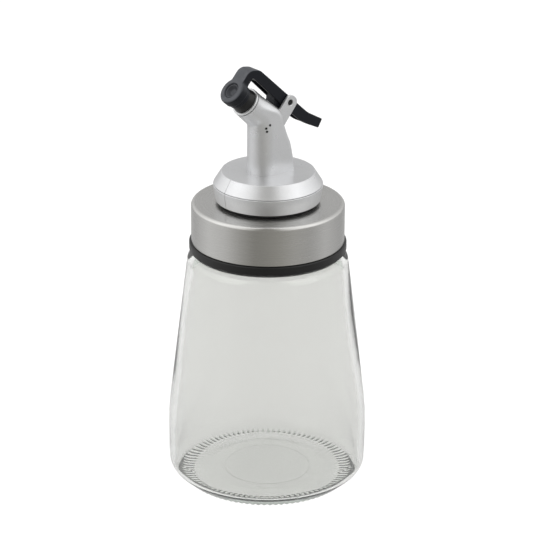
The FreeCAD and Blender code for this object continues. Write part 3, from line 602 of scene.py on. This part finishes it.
def smooth_line(points, parts=6):
    """A curve through the points, as short runs."""
    result = []
    for i in range(len(points) - 1):
        before = Vector(points[max(i - 1, 0)])
        here, there = Vector(points[i]), Vector(points[i + 1])
        after = Vector(points[min(i + 2, len(points) - 1)])
        for k in range(parts):
            t = k / parts
            result.append(0.5 * (2 * here + (there - before) * t
                                 + (2 * before - 5 * here + 4 * there - after) * t * t
                                 + (3 * here - before - 3 * there + after) * t ** 3))
    return result + [Vector(points[-1])]


def reach_to(line, start, direction):
    """Distance from start along direction to the line."""
    best = None
    for first, second in zip(line, line[1:]):
        run = second - first
        cross = direction.x * run.y - direction.y * run.x
        if abs(cross) < 1e-9:
            continue
        gap = first - start
        distance = (gap.x * run.y - gap.y * run.x) / cross
        share = (gap.x * direction.y - gap.y * direction.x) / cross
        on_run = -1e-6 <= share <= 1 + 1e-6
        if on_run and distance > 0 and (best is None or distance > best):
            best = distance
    return best


def neck_ring(depth, front, front_round, back, back_round, groove, count=96):
    """Outline of one section: (behind its front, across), starting in the middle of the front."""
    outline = rounded([
        (0, 0), (0, -front, front_round), (depth, -back, back_round),
        (depth, back, back_round), (0, front, front_round),
    ], 3.0)
    lengths = [0.0]
    for i, here in enumerate(outline):
        lengths.append(lengths[-1] + (outline[(i + 1) % len(outline)] - here).length)
    total = lengths[-1]
    stops = [0.0, 0.09] + [total * k / count for k in range(1, count)] + [total - 0.09]
    ring, i = [], 0
    for stop in stops:
        while lengths[i + 1] < stop:
            i += 1
        share = (stop - lengths[i]) / (lengths[i + 1] - lengths[i])
        ring.append(outline[i].lerp(outline[(i + 1) % len(outline)], share))
    ring[0].x += groove
    return ring


def neck():
    """The spout's neck, its elbow and its branch, as sections that turn from level to leaning."""
    back_line = smooth_line([
        (-9.3, 127.0), (-9.3, 128.4), (-8.75, 130.4), (-8.2, 133.5), (-6.8, 139.9), (-4.9, 144.6),
        (-3.5, 148.6), (-2.8, 152.0), (-1.3, 154.9), (0.9, 157.15), (5.5, 161.55), (7.8, 163.67),
        (9.0, 164.75),
    ])
    front = 8.65
    front_width, back_width = 6.35, 6.0     # half the neck's width at its front and back
    bend = Vector((12.2, 146.94))           # the sections of the elbow fan out from here
    inner = bend.x - front
    sections = []                           # (front point, direction backwards, share of the way)
    heights = [127.2, 128.6, 129.0, 129.4, 130.0, 131.0]
    heights += [132.0 + 1.25 * k for k in range(12)]
    for height in heights:
        sections.append((Vector((front, height)), Vector((-1, 0)), 0.0))
    for k in range(15):
        angle = LEAN * k / 14
        backwards = Vector((-math.cos(angle), math.sin(angle)))
        sections.append((bend + backwards * inner, backwards, 0.62 * k / 14))
    elbow_out = (bend - MOUTH).dot(ALONG)
    for k in range(1, 8):
        out = elbow_out + (-1.15 - elbow_out) * k / 7
        share = 0.62 + 0.38 * k / 7
        below = BRANCH + 0.35 * (1 - k / 7)
        sections.append((MOUTH + ALONG * out - ABOVE * below, ABOVE, share))
    work = bmesh.new()
    rings = []
    for start, backwards, share in sections:
        depth = reach_to(back_line, start + backwards * 1.0, backwards) + 1.0
        round_out = eased(share * 1.15 - 0.1)
        if share > 0.99:
            depth = 2 * BRANCH
        front_half = front_width + (BRANCH - front_width) * eased(share)
        back_half = back_width + (BRANCH - back_width) * share
        front_round = min(front_half - 0.05, 6.1)
        back_round = min(1.2 + (BRANCH - 1.2) * round_out, back_half - 0.05)
        groove = 0.16 * eased((131.0 - start.y) / 1.5) + 0.025
        points = []
        ring = neck_ring(depth, front_half, front_round, back_half, back_round, groove)
        for behind, across in ring:
            spot = start + backwards * behind
            points.append(work.verts.new(place(across, spot.x, spot.y)))
        rings.append(points)
    for lower, upper in zip(rings, rings[1:]):
        for k in range(len(lower)):
            n = (k + 1) % len(lower)
            work.faces.new([lower[k], lower[n], upper[n], upper[k]])
    work.faces.new(rings[0][::-1])
    work.faces.new(rings[-1])
    mesh = mesh_from(work, "neck")
    thing = bpy.data.objects.new("neck", mesh)
    bpy.context.scene.collection.objects.link(thing)
    return thing


def side_on(reach, height, across):
    """Place of a point of a plate that stands across the hinge's axis."""
    return place(across, reach, height)


def rod(name, reach, height, radius, start, end, fine=8.0):
    """A round bar along the hinge's direction."""
    steps = round(360 / fine)
    points = [Vector((reach + radius * math.cos(TURN * k / steps),
                      height + radius * math.sin(TURN * k / steps))) for k in range(steps)]
    return prism(name, points, side_on, start, end)


def solid_lathe(name, corners, leaning_axis=False, segments=96, seam=0.0):
    """A turned solid for building up a piece."""
    mesh = lathe_mesh(name, [tuple(p) for p in rounded(corners)], segments,
                      leaning if leaning_axis else None, seam)
    thing = bpy.data.objects.new(name, mesh)
    bpy.context.scene.collection.objects.link(thing)
    return thing


def countersink(side):
    """The cone that eases one ear's hole on its outer face."""
    cone = solid_lathe("sink", [(0, 4.35), (1.0, 4.35), (1.45, 4.85), (0, 4.85)], segments=48)
    turn = Matrix.Rotation(side * math.pi / 2, 4, "Y")
    cone.data.transform(Matrix.Translation(place(0, PIN.x, PIN.y)) @ turn)
    return cone


def housing():
    """Silver disc, neck, branch and hinge ears in one moulding, with its bores."""
    ear_outline = rounded([
        (PIN.x - 0.02, PIN.y + 4.1, 2.55), (PIN.x - 4.1, PIN.y + 0.02, 2.55),
        (-4.1, 147.5), (2.44, 149.14),
    ], 6.0)
    ears = [prism("ear", ear_outline, side_on, side * 3.65, side * 4.75, (0.15, 0.2)) for side in (-1, 1)]
    disc = solid_lathe("disc", [
        (0, 126.8), (17.0, 126.8), (DISC_EDGE - 1.6, housing_low.z), (DISC_EDGE, housing_low.z, 0.25),
        (DISC_TOP_RADIUS, DISC_TOP, 0.4), (0, DISC_TOP),
    ], segments=192, seam=SEAM_DEPTH)
    whole = combined(neck(), [disc] + ears, "UNION")
    bore = solid_lathe("bore", [
        (0, -17.0), (4.3, -17.0, 4.2), (4.3, -6.0), (5.07, -6.0), (5.07, 1.0), (0, 1.0),
    ], leaning_axis=True)
    shaft = solid_lathe("shaft", [(0, 120), (4.3, 120), (4.3, 150.7), (0, 150.7)])
    shaft.data.transform(Matrix.Translation(place(0, NECK_AXIS, 0)))
    vent_reach = -4.9
    vent = solid_lathe("vent", [(0, 120), (1.6, 120), (1.6, 134), (0, 134)], segments=48)
    vent.data.transform(Matrix.Translation(place(0, vent_reach, 0)))
    air = solid_lathe("air", [(0, 0), (0.7, 0), (0.7, 8), (0, 8)], segments=32)
    backwards = Matrix.Rotation(-math.pi / 2, 4, "X")
    air.data.transform(Matrix.Translation(place(0, vent_reach, 131.6)) @ backwards)
    pin_hole = rod("pin_hole", PIN.x, PIN.y, 1.02, -8, 8)
    sinks = [countersink(side) for side in (-1, 1)]
    whole = combined(whole, [bore, shaft, vent, air, pin_hole] + sinks, "DIFFERENCE")
    return polished(whole, "housing")


def mouth_ring():
    """Thin silver ring that trims the mouth."""
    return lathe("mouth_ring", [
        (5.07, -0.85), (BRANCH, -0.85, 0.1), (BRANCH, 0, 0.2), (5.07, 0),
    ], 128, leaning_axis=True)


def nozzle():
    """Black tip, slightly tapered, with a socket behind it for the pour tube."""
    return lathe("nozzle", [
        (2.9, 3.1, 0.2), (2.9, -3.0), (3.65, -3.0), (3.65, -8.0), (4.2, -8.0), (4.2, -5.9),
        (5.0, -5.9), (5.0, 0.2), (4.55, 3.1, 0.35),
    ], 128, leaning_axis=True)


# ---------------------------------------------------------------- lever

LEVER_HALF = 3.25
CHANNEL_HALF = 2.25
EYE_RADIUS = 5.4
EYE_BACK = 5.3
EYE_FACE = 8.77


def face_outline():
    """The lever's front plate: a round eye that runs into the arm by two hollow curves."""
    blend = 2.6
    up = math.sqrt((EYE_RADIUS + blend) ** 2 - (LEVER_HALF + blend) ** 2)
    turn = math.atan2(up, LEVER_HALF + blend)
    right = [Vector((LEVER_HALF, 7.4))]
    for k in range(9):
        angle = math.pi + turn * k / 8
        right.append(Vector((LEVER_HALF + blend * (1 + math.cos(angle)), up + blend * math.sin(angle))))
    under = []
    for k in range(1, 48):
        angle = turn - (math.pi + 2 * turn) * k / 48
        under.append(Vector((EYE_RADIUS * math.cos(angle), EYE_RADIUS * math.sin(angle))))
    left = [Vector((-p.x, p.y)) for p in reversed(right)]
    return right + under + left


def lever():
    """Thumb lever: eye, bent arm with a channel under it, stop web, pin hub and curled tail."""
    arm = prism("arm", rounded([
        (18.04, 165.0), (11.5, 172.4, 4.2), (6.5, 171.5, 4.5), (-17.0, 149.9, 14.0),
        (-24.3, 145.8, 0.5), (-22.3, 142.5, 0.5), (-14.4, 146.3, 14.0), (-5.5, 154.2, 20.0),
        (9.95, 169.2, 0.8), (15.7, 162.95),
    ], 4.0), side_on, -LEVER_HALF, LEVER_HALF, (0.3, 0.3))
    face = prism("face", face_outline(), leaning, EYE_BACK, EYE_FACE, (0.35, 0.8))
    hub = rod("hub", PIN.x, PIN.y, 2.4, -LEVER_HALF, LEVER_HALF, 6.0)
    channel = prism("channel", rounded([
        (6.2, 168.95, 0.8), (-15.8, 148.0, 10.0), (-20.4, 145.3), (-19.0, 141.0), (-8.0, 146.0),
        (9.2, 166.2),
    ], 6.0), side_on, -CHANNEL_HALF, CHANNEL_HALF)
    web = prism("web", [Vector(p) for p in (
        (-0.6, 156.4), (-1.3, 163.1), (-3.9, 160.2), (-4.4, 155.6), (-3.7, 153.3), (-1.8, 155.25),
    )], side_on, -CHANNEL_HALF - 0.2, CHANNEL_HALF + 0.2)
    whole = combined(arm, [hub], "UNION")
    whole = combined(whole, [channel], "DIFFERENCE")
    whole = combined(whole, [face, web], "UNION")
    eye_hole = solid_lathe("eye_hole", [
        (0, 4), (2.95, 4), (2.95, EYE_FACE - 0.45, 0.6), (3.4, EYE_FACE + 0.05), (3.4, 10), (0, 10),
    ], leaning_axis=True)
    spring_room = rod("spring_room", PIN.x, PIN.y, 1.95, -1.7, 1.7)
    pin_hole = rod("lever_pin_hole", PIN.x, PIN.y, 1.05, -8, 8)
    whole = combined(whole, [eye_hole, spring_room, pin_hole], "DIFFERENCE")
    return polished(whole, "thumb_lever")


def stopper():
    """Rubber plug: a sealing flange behind the eye and a bowl-ended head in it."""
    return lathe("stopper_plug", [
        (0, 3.2), (4.95, 3.2, 0.4), (4.95, 5.15, 0.4), (2.9, 5.15), (2.9, 8.3, 0.15), (2.5, 8.3, 0.15),
        (1.4, 7.15, 1.0), (0, 6.9),
    ], 128, leaning_axis=True)


def pin():
    """Hinge pin with eased ends."""
    half = pin_high.x
    steps = 48
    outline = [Vector((PIN.x + math.cos(TURN * k / steps), PIN.y + math.sin(TURN * k / steps)))
               for k in range(steps)]
    return polished(prism("pin_rod", outline, side_on, -half, half, (0.15, 0.15)), "pin")


COIL_RADIUS = 1.45              # middle of the spring's wire from the pin's axis
COIL_HALF = 1.2                 # half the coil's length along the pin
WIRE_RADIUS = 0.25
LEVER_LEG = 215.0               # direction of the spring's leg under the lever's tail, in degrees
NECK_LEG = 284.5                # direction of its leg against the neck


def from_pin(angle, distance, sideways=0.0):
    """A point by direction and distance from the pin, moved square to that direction."""
    turn = math.radians(angle)
    along = Vector((math.cos(turn), math.sin(turn)))
    return PIN + along * distance + Vector((-along.y, along.x)) * sideways


def wire(work, path, radius, sides=12):
    """A round wire along a path of points, closed at its ends."""
    rings = []
    across = Vector((1, 0, 0))
    for number, spot in enumerate(path):
        along = path[min(number + 1, len(path) - 1)] - path[max(number - 1, 0)]
        along.normalize()
        across = (across - along * across.dot(along)).normalized()
        other = along.cross(across)
        rings.append([work.verts.new(spot + (across * math.cos(TURN * k / sides)
                                             + other * math.sin(TURN * k / sides)) * radius)
                      for k in range(sides)])
    for first, second in zip(rings, rings[1:]):
        for k in range(sides):
            following = (k + 1) % sides
            work.faces.new((first[k], first[following], second[following], second[k]))
    work.faces.new(rings[0][::-1])
    work.faces.new(rings[-1])


def return_spring():
    """Torsion spring about the pin, with a leg against the neck and one under the tail."""
    neck_length, lever_length = 6.2, 6.5
    leg_steps, coil_steps, lever_steps = 12, 140, 26
    start = NECK_LEG + 90
    end = LEVER_LEG + 90 + 3 * 360
    coil = []
    for k in range(leg_steps):
        spot = from_pin(NECK_LEG, neck_length * (1 - k / leg_steps), COIL_RADIUS)
        coil.append(place(COIL_HALF, spot.x, spot.y))
    for k in range(coil_steps + 1):
        spot = from_pin(start + (end - start) * k / coil_steps, COIL_RADIUS)
        coil.append(place(COIL_HALF - 2 * COIL_HALF * k / coil_steps, spot.x, spot.y))
    leg = []
    for k in range(lever_steps + 1):
        spot = from_pin(LEVER_LEG, lever_length * k / lever_steps, COIL_RADIUS)
        leg.append(place(-COIL_HALF, spot.x, spot.y))
    work = bmesh.new()
    wire(work, coil, WIRE_RADIUS * MM)
    wire(work, leg, WIRE_RADIUS * MM)
    return finish_mesh("lever_spring", mesh_from(work, "lever_spring"), 50.0)


# ---------------------------------------------------------------- putting it together

steel = steel_finish()
silver = silver_finish()
black = black_finish("black_plastic", 0.008, 0.25, 0.34, 0.06)

PIECES = (
    # piece, CAD node it stands for, body, material slot, finish
    (bottle(), "glass_bottle", "bottle", "glass", glass_finish()),
    (collar(), "screw_collar", "collar", "collar_plastic", black),
    (sleeve(), "steel_sleeve", "collar", "sleeve_steel", steel),
    (seal(), "spout_seal_ring", "spout", "seal_rubber", rubber_finish("seal_rubber", 0.012)),
    (base(), "spout_base", "spout", "spout_silver", silver),
    (housing(), "spout_housing", "spout", "spout_silver", silver),
    (mouth_ring(), "nozzle_ring", "spout", "spout_silver", silver),
    (nozzle(), "pour_nozzle", "spout", "nozzle_plastic",
     black_finish("nozzle_plastic", 0.008, 0.3, 0.36, 0.06)),
    # the lever and the stopper carry a painted highlight on their front- and up-facing faces, with dust in
    # it
    (lever(), "lever", "lever", "lever_plastic", painted_highlight_dusty_finish("lever_plastic", 0.095)),
    (stopper(), "stopper", "lever", "stopper_rubber", painted_highlight_dusty_finish("stopper_rubber", 0.075)),
    (pin(), "hinge_pin", "spout", "pin_steel", wire_finish("pin_steel", 0.05, 0.4)),
)
for piece, node, body, slot, finish in PIECES:
    piece.data.materials.clear()
    piece.data.materials.append(finish)
    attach(piece, body)
    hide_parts(node)

spring = return_spring()
spring.data.materials.append(wire_finish("spring_steel", 0.55, 0.22))
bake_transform(spring)
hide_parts("return_spring")

KEPT = {
    "neck_gasket": rubber_finish("gasket_rubber", 0.55),
    "retaining_nut": black_finish("nut_plastic", 0.02, 0.3, 0.42),
    "nut_washer": rubber_finish("washer_rubber", 0.02),
    "pour_tube": tube_finish(),
    "vent_tube": tube_finish(),
}
for node, finish in KEPT.items():
    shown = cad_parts[node]
    shown.data.materials.clear()
    shown.data.materials.append(finish)

glass = PIECES[0][0]
glass.visible_shadow = False             # light reaches the floor through the glass
glass.visible_diffuse = False


# ---------------------------------------------------------------- floor, light and camera

def lamp(name, spot, target, size, power):
    """A soft square light aimed at a point."""
    light = bpy.data.lights.new(name, "AREA")
    light.shape = "SQUARE"
    light.size = size
    light.energy = power
    holder = bpy.data.objects.new(name, light)
    bpy.context.scene.collection.objects.link(holder)
    holder.location = spot
    holder.rotation_euler = (Vector(target) - Vector(spot)).to_track_quat("-Z", "Y").to_euler()
    holder.visible_glossy = False            # polished pieces mirror the tent instead


FLOOR_RADIUS = 8.0       # in metres


def round_about(azimuth, distance, height):
    """A point beside the object, at an azimuth in degrees from which the object is seen."""
    angle = math.radians(azimuth)
    return Vector((math.sin(angle) * distance, -math.cos(angle) * distance, height))


def floor():
    """A plain pale floor."""
    work = bmesh.new()
    bmesh.ops.create_circle(work, cap_ends=True, segments=96, radius=FLOOR_RADIUS)
    mesh = mesh_from(work, "floor")
    thing = bpy.data.objects.new("floor", mesh)
    bpy.context.scene.collection.objects.link(thing)
    finish = Finish("pale_floor", Base_Color=(0.83, 0.83, 0.83, 1), Roughness=0.9,
                    Specular_IOR_Level=0.0)
    mesh.materials.append(finish.material)
    thing.visible_glossy = False


VIEW = 51.6              # azimuth that the camera looks from, in degrees

# What shines in the object: brightness and warmth at azimuths measured from the camera's, level with
# the floor and a little below, and above the table.
LOW_TENT = ((-180, 0.55, 0), (-140, 0.55, 0), (-99, 0.82, 0), (-68, 0.71, 0.1), (-43, 0.47, 0.5),
            (-20, 0.31, 1), (0, 0.35, 1), (18, 0.40, 1), (41, 0.49, 0.6), (67, 0.48, 0.2),
            (96, 0.68, 0), (140, 0.50, 0), (180, 0.55, 0))
HIGH_TENT = ((-180, 0.57, 0), (-125, 1.1, 0), (-80, 1.6, 0), (-45, 1.2, 0.1), (-14, 0.34, 1),
             (10, 0.34, 1), (40, 1.2, 0.1), (75, 1.6, 0), (120, 1.0, 0), (180, 0.57, 0))


def tent(tree, azimuth, stops):
    """Brightness by azimuth, as a colour."""
    ramp = tree.nodes.new("ShaderNodeValToRGB")
    tree.links.new(azimuth, ramp.inputs[0])
    band = ramp.color_ramp
    for number, (angle, bright, warm) in enumerate(stops):
        spot = (angle + 180) / 360
        stop = band.elements[number] if number < 1 else band.elements.new(spot)
        if number == 1:
            band.elements.remove(band.elements[-1])
        stop.position = spot
        stop.color = (bright * (1 + 0.02 * warm), bright, bright * (1 - 0.07 * warm), 1)
    return ramp.outputs[0]


def studio():
    """A pale tent whose walls differ by direction, plain through glass, and three soft lights."""
    world = bpy.data.worlds.new("studio")
    bpy.context.scene.world = world
    world.use_nodes = True
    tree = world.node_tree

    def step(kind, first, second):
        made = tree.nodes.new("ShaderNodeMath")
        made.operation = kind
        for socket, value in zip(made.inputs, (first, second)):
            if isinstance(value, bpy.types.NodeSocket):
                tree.links.new(value, socket)
            else:
                socket.default_value = value
        return made.outputs[0]

    parts = tree.nodes.new("ShaderNodeSeparateXYZ")
    tree.links.new(tree.nodes.new("ShaderNodeTexCoord").outputs["Generated"], parts.inputs[0])
    x, y, z = parts.outputs
    sine, cosine = math.sin(math.radians(VIEW)), math.cos(math.radians(VIEW))
    towards = step("SUBTRACT", step("MULTIPLY", x, sine), step("MULTIPLY", y, cosine))
    sideways = step("ADD", step("MULTIPLY", x, cosine), step("MULTIPLY", y, sine))
    azimuth = step("ADD", step("DIVIDE", step("ARCTAN2", sideways, towards), TURN), 0.5)
    blend = tree.nodes.new("ShaderNodeMix")
    blend.data_type = "RGBA"
    blend.clamp_factor = True
    tree.links.new(step("MULTIPLY", step("ADD", z, 0.05), 5.0), blend.inputs[0])
    tree.links.new(tent(tree, azimuth, LOW_TENT), blend.inputs[6])
    tree.links.new(tent(tree, azimuth, HIGH_TENT), blend.inputs[7])
    through = tree.nodes.new("ShaderNodeMix")
    through.data_type = "RGBA"
    path = tree.nodes.new("ShaderNodeLightPath")
    tree.links.new(path.outputs["Is Transmission Ray"], through.inputs[0])
    tree.links.new(blend.outputs[2], through.inputs[6])
    through.inputs[7].default_value = (0.78, 0.82, 0.78, 1)
    back = tree.nodes["Background"]
    tree.links.new(through.outputs[2], back.inputs["Color"])
    middle = (0, 0, 0.1)
    for name, side in (("left_light", -62), ("right_light", 62)):
        lamp(name, round_about(VIEW + side, 1.1, 0.95), middle, 0.9, 2.9)
    lamp("top_light", (0, 0, 1.8), middle, 1.6, 10.0)


def camera():
    """A long lens, a metre away and looking down by the tilt."""
    lens = bpy.data.cameras.new("camera")
    lens.lens = 181.57
    lens.sensor_width = 36.0
    lens.clip_start = 0.05
    holder = bpy.data.objects.new("camera", lens)
    bpy.context.scene.collection.objects.link(holder)
    tilt = math.radians(21.83)
    roll = math.radians(0.3)
    turn = Matrix.Rotation(math.radians(VIEW), 4, "Z")
    aim = turn @ Matrix.Rotation(math.pi / 2 - tilt, 4, "X") @ Matrix.Rotation(roll, 4, "Z")
    spot = turn @ Vector((0.0015, -1.0, 0.4872))
    holder.matrix_world = Matrix.Translation(spot) @ aim
    bpy.context.scene.camera = holder


floor()
studio()
camera()
bpy.context.scene.view_settings.view_transform = "Standard"
